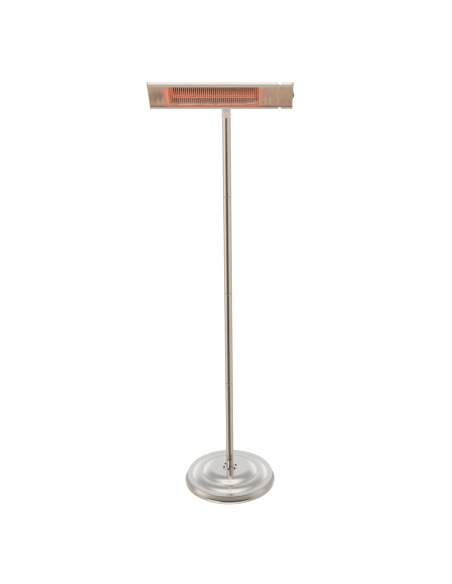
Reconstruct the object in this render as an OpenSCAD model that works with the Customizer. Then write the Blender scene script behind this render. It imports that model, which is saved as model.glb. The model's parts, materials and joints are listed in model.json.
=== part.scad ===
// Free-standing electric infrared heater: a trough-shaped head with a wire guard,
// tilting on a four-section pole that stands on a round three-tier weighted base.
// +Z is up, the heater faces -Y, and the origin is on the floor under the pole.

/* [Base] */
// Diameter of the base at the floor
base_d = 460; // [440:1:475]
// Height of the outer tier, which is also the height of the rim
rim_h = 38; // [32:0.5:40]
// Height of the middle tier
middle_h = 52.5; // [48:0.5:56]
// Height of the top plateau
plateau_h = 73.5; // [70:0.5:74]
// Radius at the foot of the middle tier
middle_foot_r = 191; // [187:1:194]
// Radius at the foot of the top tier
plateau_foot_r = 140; // [134:0.5:142]
// Thickness of the pressed steel cover
cover_t = 1; // [0.8:0.1:1.2]

/* [Pole] */
// Outer diameter of the pole tubes
pole_d = 38.1; // [36:0.1:40]
// Wall thickness of the pole tubes
pole_wall = 1.5; // [1.2:0.1:2]
// Length of one pole section, from joint to joint
section_len = 484.5; // [470:0.5:490]
// Height of the lowest joint, where the first section meets the foot
first_joint_z = 77.5; // [74:0.5:80]
// Height of the dark ring that shows at each joint
joint_ring = 1.6; // [1:0.1:2]

/* [Adapter and tilt pivot] */
// Outer diameter of the sleeve at the top of the pole
adapter_d = 40.2; // [39.8:0.1:44]
// Height of the sleeve's lower edge
adapter_bottom_z = 1901; // [1895:1:1910]
// Height of the tilt axis above the floor
pivot_z = 2036; // [2034:1:2040]
// Diameter of the pivot bolt
pivot_d = 8; // [7:0.1:9]
// Width of the tongue between the bracket's ears
tongue_w = 24; // [20:1:26]
// Angle by which the head faces down
rest_tilt = 40; // [30:1:41]

/* [Head] */
// Left end of the head
head_x0 = -333.5; // [-345:0.5:-325]
// Right end of the head
head_x1 = 290.5; // [282:0.5:300]
// Height of the head across its face
head_h = 175.6; // [174:0.1:178]
// Depth of the head from its face to its back
head_depth = 54; // [53:0.5:56]
// Depth of the straight side walls behind the face
wall_depth = 15.6; // [14:0.1:17]
// Width of the flat part of the back
back_flat = 64.6; // [62:0.1:68]
// Thickness of the housing walls
housing_t = 2; // [1.8:0.1:2.2]
// Width of the lips above and below the face
lip = 16; // [15:0.5:18]
// Distance from the tilt axis forward to the face
pivot_to_face = 88.7; // [87:0.1:90]
// Distance from the tilt axis down to the head's lower edge
pivot_to_sill = 43.5; // [42:0.1:45]

/* [Window] */
// Left edge of the window
window_x0 = -247; // [-255:0.5:-240]
// Right edge of the window
window_x1 = 143; // [138:0.5:148]
// Number of upright guard wires
wire_count = 46; // [40:1:46]
// Diameter of the guard wires
wire_d = 3; // [2:0.1:3]
// Depth of the reflector behind the face
reflector_depth = 43; // [38:0.5:45]
// Diameter of the quartz tube
tube_d = 10.5; // [9:0.5:11]
// Height of the quartz tube above the head's lower edge
tube_up = 76; // [72:1:88]
// Distance of the quartz tube behind the face
tube_back = 14.5; // [14:0.5:18]

/* [Control end] */
// Left side of the groove between the two housings
groove_x0 = 233.5; // [228:0.5:236]
// Right side of the groove between the two housings
groove_x1 = 237.5; // [237:0.5:242]
// Height of the power switch above the head's lower edge
switch_up = 74; // [70:1:80]
// Angle by which the rocker is pressed over
rocker_rest = 10; // [8:1:12]

/* [Hidden] */
$fn = 96;

pole_r = pole_d / 2;
bore_r = pole_r - pole_wall;
clear = 0.05;
base_r = base_d / 2;

// Base
cover_lift = 0.6;
plateau_r = 84;
middle_r = 148;
shoulder_end = 68;
rim_round = 2.5;
plate_z = 5.8;
plate_t = 1.2;
plate_screw_circle = 190;
plate_screw_angles = [30:60:330];
flange_t = 2.5;
flange_r = 39;
flange_top = plateau_h + flange_t;
flange_hole_r = 3.2;
screw_circle_r = 31;
screw_angles = [17, 77, 137, 197, 257, 317];

// Pole and adapter
pole_top = first_joint_z + 4 * section_len;
ring_r = pole_r - 0.4;
coupling_half = 32;
adapter_screw_angles = [200, 20];
adapter_screw_z = adapter_bottom_z + 9;

// Tilt pivot, from the tongue outwards to the knob on the left
bolt_r = pivot_d / 2 - clear;
ear_gap = tongue_w / 2 + 1.6;
ear_t = 3;
ear_out = ear_gap + ear_t;
washer_t = 1.3;
washer_gap = 0.3;
knob_x1 = -(ear_out + 2 * washer_gap + washer_t);
knob_w = 16;
knob_r = 15;
insert_r = 5.5;

// The head is drawn about the tilt axis: Y runs back from the face, Z up along it.
face_y = -pivot_to_face;
sill_z = -pivot_to_sill;
back_y = face_y + head_depth;
flat_z0 = sill_z + (head_h - back_flat) / 2;
flat_z1 = flat_z0 + back_flat;
slope_run = head_depth - wall_depth;
slope_rise = (head_h - back_flat) / 2;
slope_angle = atan2(slope_run, slope_rise);
cap_t = 5;
body_x0 = head_x0 + cap_t;
body_x1 = head_x1 - cap_t;
sheet_t = 1.2;
fascia_t = 2;
guard_room = 3.2;
chassis_y = face_y + housing_t + guard_room;
inner_y = chassis_y + sheet_t;
face_low = sill_z + lip;
face_high = sill_z + head_h - lip;
port_r = 3.8;
port_hole_r = 1.6;
port_in = 5.4;

// Places of the four screw ports that run along the head, as [y, z].
port_places = [
    [face_y + 11, sill_z + port_in],
    [face_y + 11, sill_z + head_h - port_in],
    [back_y - port_in, flat_z0 + 7],
    [back_y - port_in, flat_z1 - 7]];

// Bracket on the back
bracket_half = 42;
bracket_z0 = flat_z0 + 2;
bracket_z1 = flat_z1 - 2;
bracket_t = 3;
bracket_screw_x = 32;
bracket_screw_z = [bracket_z0 + 13, bracket_z1 - 13];
bracket_hole_r = 2.6;

// Openings in the housings and fascias
vent_w = 5;
vent_pitch = 23.3;
vent_x = [for (i = [0:3]) -299.5 + i * vent_pitch];
slot_w = 3.4;
low_slots_z = [sill_z + 21, sill_z + 84];
gland_x = 273;
gland_at = [face_y + wall_depth + slope_run / 2, sill_z + slope_rise / 2];
gland_r = 4.25;
gland_thread_r = 8;

// Heating part
tube_y = face_y + tube_back;
tube_z = sill_z + tube_up;
tube_x0 = window_x0 + 12;
tube_x1 = window_x1 - 12;
cap_r = 7.2;
cap_len = 28;
cap_grip = 6;
holder_out = 5;
end_lean = 18;
reflector_t = 0.8;
trough_low = sill_z + 17;
trough_high = sill_z + head_h - 15;
fit_gap = 0.02;

// Control end
frame_x0 = 205;
frame_x1 = 261;
bulkhead_x = 160;
bulkhead_t = 1.2;
lead_hole_r = 4;
block_x = 176;
block_z = sill_z + 104;
wire_r = 1.5;
switch_y = face_y + 27;
switch_z = sill_z + switch_up;
rocker_half = 9.2;
rocker_pin_r = 1.2;
rocker_pivot_x = head_x1 - 2.5;

// ---------- outlines ----------

function unit(v) = v / norm(v);
function turn(a) = a > 180 ? a - 360 : a < -180 ? a + 360 : a;

// Points of a round corner of radius r at b, between the neighbours a and c.
function round_corner(a, b, c, r, steps) =
    let (u = unit(a - b), v = unit(c - b),
         half = acos(u * v) / 2,
         middle = b + unit(u + v) * (r / sin(half)),
         from = b + u * (r / tan(half)) - middle,
         to = b + v * (r / tan(half)) - middle,
         start = atan2(from[1], from[0]),
         sweep = turn(atan2(to[1], to[0]) - start))
    [for (i = [0:steps]) middle + r * [cos(start + sweep * i / steps),
                                       sin(start + sweep * i / steps)]];

function rounded(points, r, steps = 5) =
    let (n = len(points))
    [for (i = [0:n - 1])
        each round_corner(points[(i + n - 1) % n], points[i], points[(i + 1) % n], r, steps)];

// A convex outline moved inwards by t.
function inset(points, t) =
    let (n = len(points))
    [for (i = [0:n - 1])
        let (u = unit(points[(i + n - 1) % n] - points[i]),
             v = unit(points[(i + 1) % n] - points[i]))
        points[i] + unit(u + v) * (t / sin(acos(u * v) / 2))];

// Cross-section of the head, as [y, z].
function head_points() = [
    [face_y, sill_z],
    [face_y + wall_depth, sill_z],
    [back_y, flat_z0],
    [back_y, flat_z1],
    [face_y + wall_depth, sill_z + head_h],
    [face_y, sill_z + head_h]];

function head_outline(t, r) = rounded(inset(head_points(), t), r);

// The back of the head's outline moved inwards by t, and open at the front.
function back_points(t, front_y) =
    let (p = inset(head_points(), t))
    [[front_y, p[1][1]], p[1], p[2], p[3], p[4], [front_y, p[4][1]]];

// One convex shoulder of the base, from the flat above it down to its foot: part of an ellipse.
function shoulder(r_in, r_out, z_low, z_high, steps = 14) =
    [for (i = [0:steps])
        let (a = shoulder_end * i / steps)
        [r_in + (r_out - r_in) * sin(a) / sin(shoulder_end),
         z_high - (z_high - z_low) * (1 - cos(a)) / (1 - cos(shoulder_end))]];

// Half-section of the base cover, moved inwards by t.
function cover_points(t) = concat(
    [[0, plateau_h - t]],
    shoulder(plateau_r, plateau_foot_r - t, middle_h - t, plateau_h - t),
    shoulder(middle_r, middle_foot_r - t, rim_h - t, middle_h - t),
    [for (a = [90:-15:0])
        [base_r - 12.5 - t + rim_round * cos(a), rim_h - t - rim_round + rim_round * sin(a)]],
    [[base_r - 9 - t, 15], [base_r - 6 - t, 9.5], [base_r - 2 - t, 4.5], [base_r - t, 3],
     [base_r - t, cover_lift - t], [0, cover_lift - t]]);

// Half of the reflector's trough, as [y, z], from its lower edge to its upper edge.
function trough_points(t, steps = 22) =
    [for (i = [0:steps])
        let (z = trough_low + (trough_high - trough_low) * i / steps,
             side = z < tube_z ? (tube_z - z) / (tube_z - trough_low)
                               : (z - tube_z) / (trough_high - tube_z))
        [face_y + reflector_depth - t - (face_y + reflector_depth - inner_y) * pow(side, 2.4), z]];

// ---------- helpers ----------

module along_x(x0, x1) {
    translate([x0, 0, 0]) rotate([90, 0, 90]) linear_extrude(height = x1 - x0) children();
}

module in_head() {
    translate([0, 0, pivot_z]) rotate([rest_tilt, 0, 0]) children();
}

module rod_x(x0, x1, r, y = 0, z = 0) {
    translate([x0, y, z]) rotate([0, 90, 0]) cylinder(h = x1 - x0, r = r);
}

module block(low, high) {
    translate(low) cube(high - low);
}

module screw_places() {
    for (a = screw_angles) rotate([0, 0, a]) translate([screw_circle_r, 0, 0]) children();
}

module plate_screw_places() {
    for (a = plate_screw_angles) rotate([0, 0, a]) translate([plate_screw_circle, 0, plate_z]) children();
}

module bracket_screw_places(y) {
    for (x = [-bracket_screw_x, bracket_screw_x], z = bracket_screw_z)
        translate([x, y, z]) rotate([-90, 0, 0]) children();
}

module ports_2d(r) {
    for (p = port_places) translate(p) circle(r = r);
}

module shell_2d() {
    difference() {
        union() {
            difference() {
                polygon(head_outline(0, 3));
                polygon(head_outline(housing_t, 1.2));
            }
            intersection() {
                ports_2d(port_r);
                polygon(head_outline(0.5, 2.6));
            }
        }
        ports_2d(port_hole_r);
        translate([face_y - 1, face_low]) square([housing_t + 2, face_high - face_low]);
    }
}

// A pan-head screw pointing down -Z, with its head's underside at z = 0.
module pan_screw(d, head_d, head_h, length) {
    difference() {
        union() {
            rotate_extrude()
                polygon(concat([[0, 0], [head_d / 2, 0], [head_d / 2, head_h * 0.35]],
                    [for (a = [0:15:90])
                        [head_d / 2 - head_h * 0.65 + head_h * 0.65 * cos(a),
                         head_h * 0.35 + head_h * 0.65 * sin(a)]],
                    [[0, head_h]]));
            translate([0, 0, -length]) cylinder(h = length + head_h * 0.2, d = d, $fn = 32);
        }
        translate([0, 0, head_h * 0.4]) cylinder(h = head_h, d = head_d * 0.42, $fn = 6);
    }
}

// ---------- base ----------

module base_cover() {
    color([0.82, 0.82, 0.81])
    difference() {
        rotate_extrude($fn = 128) polygon(cover_points(0));
        rotate_extrude($fn = 128) polygon(cover_points(cover_t));
        screw_places() translate([0, 0, plateau_h - 3]) cylinder(h = 6, r = flange_hole_r, $fn = 32);
        translate([0, 0, plateau_h - 3]) cylinder(h = 6, r = 12);
    }
}

module base_weight() {
    low = plate_z + plate_t;
    top = plateau_h - cover_t;
    outer_r = base_r - 18;
    step_r = middle_r + 2;
    color([0.45, 0.45, 0.44])
    difference() {
        rotate_extrude()
            polygon([[0, low], [outer_r - 4, low], [outer_r, low + 3], [outer_r, rim_h - 6],
                     [step_r, rim_h - 6], [step_r, middle_h - 4], [plateau_r, middle_h - 4],
                     [plateau_r - 4, top], [0, top]]);
        screw_places() translate([0, 0, top - 30]) cylinder(h = 31, r = 3.1, $fn = 32);
        plate_screw_places() translate([0, 0, -1]) cylinder(h = 16, r = 2.1, $fn = 32);
    }
}

module base_bottom_plate() {
    color([0.12, 0.12, 0.12])
    difference() {
        translate([0, 0, plate_z]) cylinder(h = plate_t, r = base_r - 11);
        plate_screw_places() translate([0, 0, -1]) cylinder(h = plate_t + 2, r = 2.4, $fn = 32);
    }
}

module foot_ring() {
    outer_r = base_r - 9;
    inner_r = outer_r - 16;
    color([0.07, 0.07, 0.07])
    rotate_extrude($fn = 128)
        polygon([[inner_r + 1, 0], [outer_r - 1, 0], [outer_r, 1], [outer_r, plate_z],
                 [inner_r, plate_z], [inner_r, 1]]);
}

module base_plate_screws() {
    color([0.6, 0.6, 0.6])
    plate_screw_places() rotate([180, 0, 0]) pan_screw(4, 8, 3, 13);
}

module foot_flange() {
    ring_low = first_joint_z - joint_ring / 2;
    ring_high = first_joint_z + joint_ring / 2;
    spigot_r = bore_r - clear;
    spigot_top = first_joint_z + 30;
    color([0.78, 0.76, 0.74])
    difference() {
        rotate_extrude()
            polygon([[11, plateau_h], [flange_r, plateau_h], [flange_r, flange_top - 0.8],
                     [flange_r - 0.8, flange_top], [pole_r, flange_top], [pole_r, ring_low],
                     [ring_r, ring_low], [ring_r, ring_high], [spigot_r, ring_high],
                     [spigot_r, spigot_top], [11, spigot_top]]);
        screw_places() translate([0, 0, plateau_h - 1]) cylinder(h = 6, r = flange_hole_r, $fn = 32);
    }
}

module flange_screws() {
    color([0.13, 0.12, 0.12])
    screw_places() translate([0, 0, flange_top]) pan_screw(6, 10, 3.4, 24);
}

// ---------- pole ----------

module pole_section(k) {
    low = first_joint_z + (k - 1) * section_len + joint_ring / 2;
    high = first_joint_z + k * section_len - joint_ring / 2;
    color([0.80, 0.76, 0.72])
    difference() {
        translate([0, 0, low]) cylinder(h = high - low, r = pole_r);
        translate([0, 0, low - 1]) cylinder(h = high - low + 2, r = bore_r);
    }
}

module pole_section_1() { pole_section(1); }
module pole_section_2() { pole_section(2); }
module pole_section_3() { pole_section(3); }
module pole_section_4() { pole_section(4); }

module pole_coupling(k) {
    joint_z = first_joint_z + k * section_len;
    color([0.35, 0.33, 0.32])
    difference() {
        union() {
            translate([0, 0, joint_z - coupling_half])
                cylinder(h = 2 * coupling_half, r = bore_r - clear);
            translate([0, 0, joint_z - joint_ring / 2])
                cylinder(h = joint_ring, r = ring_r);
        }
        translate([0, 0, joint_z - coupling_half - 1])
            cylinder(h = 2 * coupling_half + 2, r = bore_r - 2.5);
    }
}

module pole_coupling_1() { pole_coupling(1); }
module pole_coupling_2() { pole_coupling(2); }
module pole_coupling_3() { pole_coupling(3); }

module pole_adapter() {
    sleeve_top = pivot_z - 16;
    tongue_r = 15;
    color([0.76, 0.73, 0.71])
    difference() {
        union() {
            rotate_extrude()
                polygon([[0, adapter_bottom_z], [adapter_d / 2 - 0.6, adapter_bottom_z],
                         [adapter_d / 2, adapter_bottom_z + 0.6], [adapter_d / 2, sleeve_top - 1],
                         [adapter_d / 2 - 1, sleeve_top], [0, sleeve_top]]);
            block([-tongue_w / 2, -tongue_r, sleeve_top - 1], [tongue_w / 2, tongue_r, pivot_z]);
            rod_x(-tongue_w / 2, tongue_w / 2, tongue_r, 0, pivot_z);
        }
        translate([0, 0, adapter_bottom_z - 1])
            cylinder(h = pole_top - joint_ring / 2 - adapter_bottom_z + 1, r = pole_r + clear);
        rod_x(-tongue_w, tongue_w, pivot_d / 2, 0, pivot_z);
        for (a = adapter_screw_angles) rotate([0, 0, a]) translate([0, 0, adapter_screw_z])
            rotate([0, 90, 0]) cylinder(h = 30, r = 2.1, $fn = 32);
    }
}

module adapter_screws() {
    color([0.45, 0.40, 0.37])
    for (a = adapter_screw_angles) rotate([0, 0, a])
        translate([adapter_d / 2, 0, adapter_screw_z]) rotate([0, 90, 0])
            pan_screw(4, 7.4, 2.6, adapter_d / 2 - pole_r - 0.1);
}

// ---------- tilt pivot ----------

module pivot_bolt() {
    head_x = ear_out + washer_gap + washer_t;
    color([0.68, 0.68, 0.68])
    translate([0, 0, pivot_z]) {
        rod_x(knob_x1 - knob_w + 3, head_x, bolt_r);
        translate([head_x, 0, 0]) rotate([0, 90, 0]) cylinder(h = 5.3, r = 7.5, $fn = 6);
    }
}

module pivot_washers() {
    color([0.2, 0.2, 0.2])
    translate([0, 0, pivot_z])
    for (x = [tongue_w / 2, -tongue_w / 2 - washer_t, ear_out + washer_gap, knob_x1 + washer_gap])
        difference() {
            rod_x(x, x + washer_t, 9.5);
            rod_x(x - 1, x + washer_t + 1, pivot_d / 2);
        }
}

module knob_insert() {
    color([0.75, 0.6, 0.3])
    translate([0, 0, pivot_z])
    difference() {
        rod_x(knob_x1 - knob_w + 4, knob_x1, insert_r);
        rod_x(knob_x1 - knob_w, knob_x1 + 1, pivot_d / 2);
    }
}

module tilt_knob() {
    lobe_r = 4.4;
    color([0.08, 0.08, 0.08])
    translate([0, 0, pivot_z])
    difference() {
        union() {
            rod_x(knob_x1 - knob_w, knob_x1, knob_r - 4);
            for (a = [0:72:288]) rotate([a, 0, 0])
                rod_x(knob_x1 - knob_w + 0.6, knob_x1 - 3, lobe_r, 0, knob_r - lobe_r);
        }
        rod_x(knob_x1 - knob_w + 4, knob_x1 + 1, insert_r);
        rod_x(knob_x1 - knob_w + 2, knob_x1, pivot_d / 2 + 0.3);
    }
}

module head_bracket() {
    ear_r = 14;
    ear_root = back_y + bracket_t - 0.5;
    color([0.15, 0.15, 0.15])
    in_head()
    difference() {
        union() {
            block([-bracket_half, back_y, bracket_z0], [bracket_half, back_y + bracket_t, bracket_z1]);
            for (x = [-ear_out, ear_gap]) {
                along_x(x, x + ear_t)
                    polygon([[ear_root, bracket_z0], ear_r * [cos(227), sin(227)],
                             ear_r * [cos(45), sin(45)], [ear_root, bracket_z1 - 14]]);
                rod_x(x, x + ear_t, ear_r);
            }
        }
        rod_x(-bracket_half, bracket_half, pivot_d / 2);
        bracket_screw_places(back_y - 1) cylinder(h = bracket_t + 2, r = bracket_hole_r, $fn = 32);
    }
}

module bracket_screws() {
    color([0.7, 0.7, 0.7])
    in_head()
    bracket_screw_places(back_y + bracket_t) pan_screw(5, 9, 3, 8);
}

// ---------- head casing ----------

module vent_cuts() {
    for (x = vent_x) {
        block([x - vent_w / 2, face_y + 12.5, sill_z + head_h - 34],
              [x + vent_w / 2, back_y - 10, sill_z + head_h + 1]);
        block([x - vent_w / 2, face_y + 19, sill_z - 1], [x + vent_w / 2, back_y - 10, sill_z + 34]);
    }
}

// Cuts the lower lip of a housing beside the groove: straight above the lip, then slanting to x_low.
module lip_cut(x_top, x_low, x_out) {
    translate([0, face_y + wall_depth, 0]) rotate([90, 0, 0]) linear_extrude(height = wall_depth + 1)
        polygon([[x_out, sill_z + lip + 0.5], [x_top, sill_z + lip + 0.5],
                 [x_low, sill_z - 1], [x_out, sill_z - 1]]);
}

module main_housing() {
    cut = 9;
    color([0.86, 0.83, 0.80])
    in_head()
    difference() {
        along_x(body_x0, groove_x0) shell_2d();
        vent_cuts();
        translate([0, 0, sill_z + head_h - lip - 1]) linear_extrude(height = lip + 2)
            polygon([[groove_x0 + 1, face_y - 1], [groove_x0 + 1, face_y + wall_depth + 1],
                     [groove_x0 - cut, face_y + wall_depth + 1], [groove_x0, face_y]]);
        lip_cut(groove_x0, groove_x0 - cut, groove_x0 + 1);
        bracket_screw_places(back_y - 4) cylinder(h = 6, r = bracket_hole_r, $fn = 32);
    }
}

// Moves to the middle of the lower slope at the control end, with +Z out of the housing.
module at_gland() {
    translate([gland_x, gland_at[0], gland_at[1]]) rotate([-90 - slope_angle, 0, 0]) children();
}

module control_housing() {
    cut = 5;
    color([0.86, 0.83, 0.80])
    in_head()
    difference() {
        along_x(groove_x1, body_x1) shell_2d();
        lip_cut(groove_x1, groove_x1 + cut, groove_x1 - 1);
        at_gland() translate([0, 0, -6]) cylinder(h = 12, r = gland_thread_r + 2 * clear);
    }
}

module end_cap(x0) {
    color([0.80, 0.77, 0.74])
    in_head()
    difference() {
        along_x(x0, x0 + cap_t) difference() {
            polygon(head_outline(-0.7, 4));
            ports_2d(2.1);
        }
        if (x0 > 0)
            block([x0 - 1, switch_y - 11, switch_z - 13.6],
                  [x0 + cap_t + 1, switch_y + 11, switch_z + 13.6]);
    }
}

module left_end_cap() { end_cap(head_x0); }
module right_end_cap() { end_cap(head_x1 - cap_t); }

module cap_screws(x, side) {
    color([0.55, 0.55, 0.55])
    in_head()
    for (p = port_places) translate([x, p[0], p[1]]) rotate([0, side * 90, 0])
        pan_screw(3, 6.4, 2.4, 14);
}

module left_cap_screws() { cap_screws(head_x0, -1); }
module right_cap_screws() { cap_screws(head_x1, 1); }

module fascia(x0, x1, low_slots, high_slots) {
    color([0.66, 0.56, 0.50])
    in_head()
    difference() {
        block([x0, chassis_y - fascia_t, sill_z + 11], [x1, chassis_y, sill_z + head_h - 11]);
        for (x = low_slots)
            block([x - slot_w / 2, face_y, low_slots_z[0]],
                  [x + slot_w / 2, chassis_y + 1, low_slots_z[1]]);
        for (s = high_slots)
            block([s[0] - slot_w / 2, face_y, sill_z + s[1]],
                  [s[0] + slot_w / 2, chassis_y + 1, sill_z + s[2]]);
    }
}

module left_fascia() { fascia(body_x0 + 0.2, window_x0 - 0.3, [-294, -272.5], []); }

module right_fascia() {
    fascia(window_x1 + 0.3, body_x1 - 0.2, [172, 193.5, 227.5],
           [[171.5, 147, 157], [228.5, 133, 157]]);
}

module wire_guard() {
    step = (window_x1 - window_x0) / wire_count;
    color([0.80, 0.58, 0.48])
    in_head()
    for (i = [0:wire_count - 1])
        translate([window_x0 + step * (i + 0.5), chassis_y - wire_d / 2 - fit_gap, sill_z + 12])
            cylinder(h = head_h - 24, d = wire_d, $fn = 16);
}

module chassis_plate() {
    color([0.74, 0.74, 0.73])
    in_head()
    difference() {
        block([body_x0 + 0.2, chassis_y, sill_z + 10.5],
              [body_x1 - 0.2, inner_y, sill_z + head_h - 10.5]);
        block([window_x0, chassis_y - 1, trough_low], [window_x1, inner_y + 1, trough_high]);
    }
}

module joining_frame() {
    color([0.84, 0.83, 0.82])
    in_head()
    along_x(frame_x0, frame_x1) difference() {
        polygon(back_points(housing_t + 0.3, inner_y));
        polygon(back_points(11.5, inner_y - 1));
        ports_2d(port_r + 0.3);
    }
}

module control_bulkhead() {
    color([0.7, 0.7, 0.7])
    in_head()
    difference() {
        along_x(bulkhead_x, bulkhead_x + bulkhead_t) difference() {
            polygon(head_outline(housing_t + 0.3, 1));
            ports_2d(port_r + 0.3);
            translate([face_y, sill_z]) square([inner_y - face_y, head_h]);
        }
        rod_x(bulkhead_x - 2, bulkhead_x + 3, lead_hole_r, back_y - 8, sill_z + head_h / 2);
        rod_x(bulkhead_x - 2, bulkhead_x + 3, lead_hole_r, tube_y + 12, tube_z - 16);
    }
}

// ---------- heating part ----------

// The space between the two leaning ends of the trough, shrunk by t at each end.
module between_ends(t) {
    lean_y = face_y + reflector_depth + 3;
    k = end_lean / (lean_y - inner_y);
    translate([0, 0, sill_z]) linear_extrude(height = head_h)
        polygon([[window_x0 + t - k, inner_y - 1], [window_x1 - t + k, inner_y - 1],
                 [window_x1 - t - end_lean, lean_y], [window_x0 + t + end_lean, lean_y]]);
}

module trough_2d(t) {
    points = trough_points(t);
    polygon(concat([[inner_y - 1, points[0][1] + t]],
                   [for (p = points) [p[0], max(points[0][1] + t,
                        min(points[len(points) - 1][1] - t, p[1]))]],
                   [[inner_y - 1, points[len(points) - 1][1] - t]]));
}

module reflector() {
    color([0.90, 0.62, 0.50])
    in_head()
    intersection() {
        difference() {
            along_x(window_x0, window_x1) trough_2d(0);
            along_x(window_x0 - 1, window_x1 + 1) trough_2d(reflector_t);
            block([window_x0 - 1, inner_y - 3, sill_z], [window_x1 + 1, inner_y, sill_z + head_h]);
        }
        between_ends(0);
    }
}

module reflector_end(side) {
    color([0.92, 0.55, 0.40])
    in_head()
    difference() {
        intersection() {
            along_x(window_x0, window_x1) trough_2d(reflector_t + fit_gap);
            block([window_x0, inner_y, sill_z], [window_x1, back_y, sill_z + head_h]);
            difference() {
                between_ends(0);
                between_ends(reflector_t);
                block([side < 0 ? -100 : window_x0 - 1, inner_y - 2, sill_z - 1],
                      [side < 0 ? window_x1 + 1 : 0, back_y, sill_z + head_h + 1]);
            }
        }
        rod_x(window_x0 - 1, window_x1 + 1, cap_r + 0.3, tube_y, tube_z);
    }
}

module left_reflector_end() { reflector_end(-1); }
module right_reflector_end() { reflector_end(1); }

module quartz_tube() {
    color([0.95, 0.75, 0.6, 0.6])
    in_head()
    difference() {
        rod_x(tube_x0, tube_x1, tube_d / 2, tube_y, tube_z);
        rod_x(tube_x0 - 1, tube_x1 + 1, tube_d / 2 - 1, tube_y, tube_z);
    }
}

module heating_coil() {
    color([1.0, 0.35, 0.1])
    in_head() rod_x(tube_x0 + 1, tube_x1 - 1, 2.2, tube_y, tube_z);
}

module tube_cap(x, side) {
    low = min(x, x + side * cap_len);
    color([0.93, 0.91, 0.86])
    in_head()
    difference() {
        rod_x(low, low + cap_len, cap_r, tube_y, tube_z);
        rod_x(x - cap_grip, x + cap_grip, tube_d / 2, tube_y, tube_z);
        rod_x(low - 1, low + cap_len + 1, 2.3, tube_y, tube_z);
    }
}

module left_tube_cap() { tube_cap(tube_x0 + cap_grip, -1); }
module right_tube_cap() { tube_cap(tube_x1 - cap_grip, 1); }

module tube_holder(x, side) {
    foot_x = side < 0 ? [-9, 0.6] : [-0.6, 9];
    color([0.72, 0.72, 0.73])
    in_head()
    difference() {
        union() {
            block([x - 0.6, inner_y, tube_z - 16], [x + 0.6, tube_y + 16, tube_z + 16]);
            for (z = [tube_z - 16, tube_z + 9])
                block([x + foot_x[0], inner_y, z], [x + foot_x[1], inner_y + sheet_t, z + 7]);
        }
        rod_x(x - 12, x + 12, cap_r + clear, tube_y, tube_z);
    }
}

module left_tube_holder() { tube_holder(window_x0 - holder_out, -1); }
module right_tube_holder() { tube_holder(window_x1 + holder_out, 1); }

// ---------- control end ----------

module terminal_block() {
    color([0.92, 0.91, 0.87])
    in_head()
    difference() {
        block([block_x, inner_y, block_z], [block_x + 24, inner_y + 15, block_z + 36]);
        for (i = [0:2]) translate([block_x + 7, inner_y + 8, block_z + 6 + i * 12]) {
            rotate([-90, 0, 0]) cylinder(h = 10, r = 2.5, $fn = 24);
            rod_x(-10, 20, 1.7, -2.5, 0, $fn = 24);
        }
    }
}

module thermal_cutout() {
    body_x = bulkhead_x + bulkhead_t;
    y = back_y - 20;
    z = sill_z + head_h - 52;
    color([0.25, 0.22, 0.2])
    in_head() {
        rod_x(body_x, body_x + 6, 8, y, z);
        for (tab = [-4, 3]) block([body_x + 5, y + tab, z - 2], [body_x + 12, y + tab + 1, z + 2]);
    }
}

module tip_over_switch() {
    color([0.1, 0.1, 0.1])
    in_head() {
        block([212, inner_y, sill_z + 34], [232, inner_y + 16, sill_z + 58]);
        rod_x(232, 236, 5, inner_y + 8, sill_z + 46);
    }
}

module wire_run(points) {
    for (i = [0:len(points) - 2]) {
        run = points[i + 1] - points[i];
        translate(points[i])
            rotate([0, acos(run[2] / norm(run)), atan2(run[1], run[0])])
                cylinder(h = norm(run), r = wire_r);
    }
    for (i = [1:len(points) - 2]) translate(points[i]) sphere(r = wire_r + 0.15, $fn = 24);
}

module internal_wires() {
    back = back_y - 8;
    mid_z = sill_z + head_h / 2;
    left_x = tube_x0 + cap_grip - cap_len;
    right_x = tube_x1 - cap_grip + cap_len;
    into_x = block_x - 0.2;
    into_y = inner_y + 5.5;
    color([0.8, 0.78, 0.72])
    in_head() {
        wire_run([[left_x + 3, tube_y, tube_z], [left_x - 4, tube_y, tube_z],
                  [left_x - 11, tube_y + 4, tube_z + 4], [left_x - 11, back, mid_z],
                  [163, back, mid_z], [170, into_y, block_z + 6],
                  [into_x, into_y, block_z + 6]]);
        wire_run([[right_x - 3, tube_y, tube_z], [right_x + 2.5, tube_y, tube_z],
                  [right_x + 4.5, tube_y + 12, tube_z - 16], [163, tube_y + 12, tube_z - 16],
                  [170, into_y, block_z + 18], [into_x, into_y, block_z + 18]]);
    }
}

module switch_body() {
    color([0.1, 0.1, 0.1])
    in_head()
    translate([0, switch_y, switch_z])
    difference() {
        union() {
            block([head_x1 - 24, -10.8, -13.4], [head_x1 + 1, 10.8, 13.4]);
            block([head_x1, -12.6, -15.4], [head_x1 + 2.2, 12.6, 15.4]);
        }
        block([head_x1 - 10, -rocker_half - 0.4, -12.6], [head_x1 + 3, rocker_half + 0.4, 12.6]);
        translate([rocker_pivot_x, -10.4, 0]) rotate([-90, 0, 0])
            cylinder(h = 20.8, r = rocker_pin_r + clear);
    }
}

module power_rocker() {
    half = 11.4;
    color([0.14, 0.14, 0.15])
    in_head()
    translate([rocker_pivot_x, switch_y, switch_z]) rotate([0, -rocker_rest, 0]) {
        translate([0, rocker_half, 0]) rotate([90, 0, 0])
            linear_extrude(height = 2 * rocker_half)
                polygon([[-3, -4], [-3, 4], [4, half], [7.4, half - 0.4],
                         [6, 0], [7.4, 0.4 - half], [4, -half]]);
        translate([0, -10.2, 0]) rotate([-90, 0, 0]) cylinder(h = 20.4, r = rocker_pin_r);
    }
}

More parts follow.
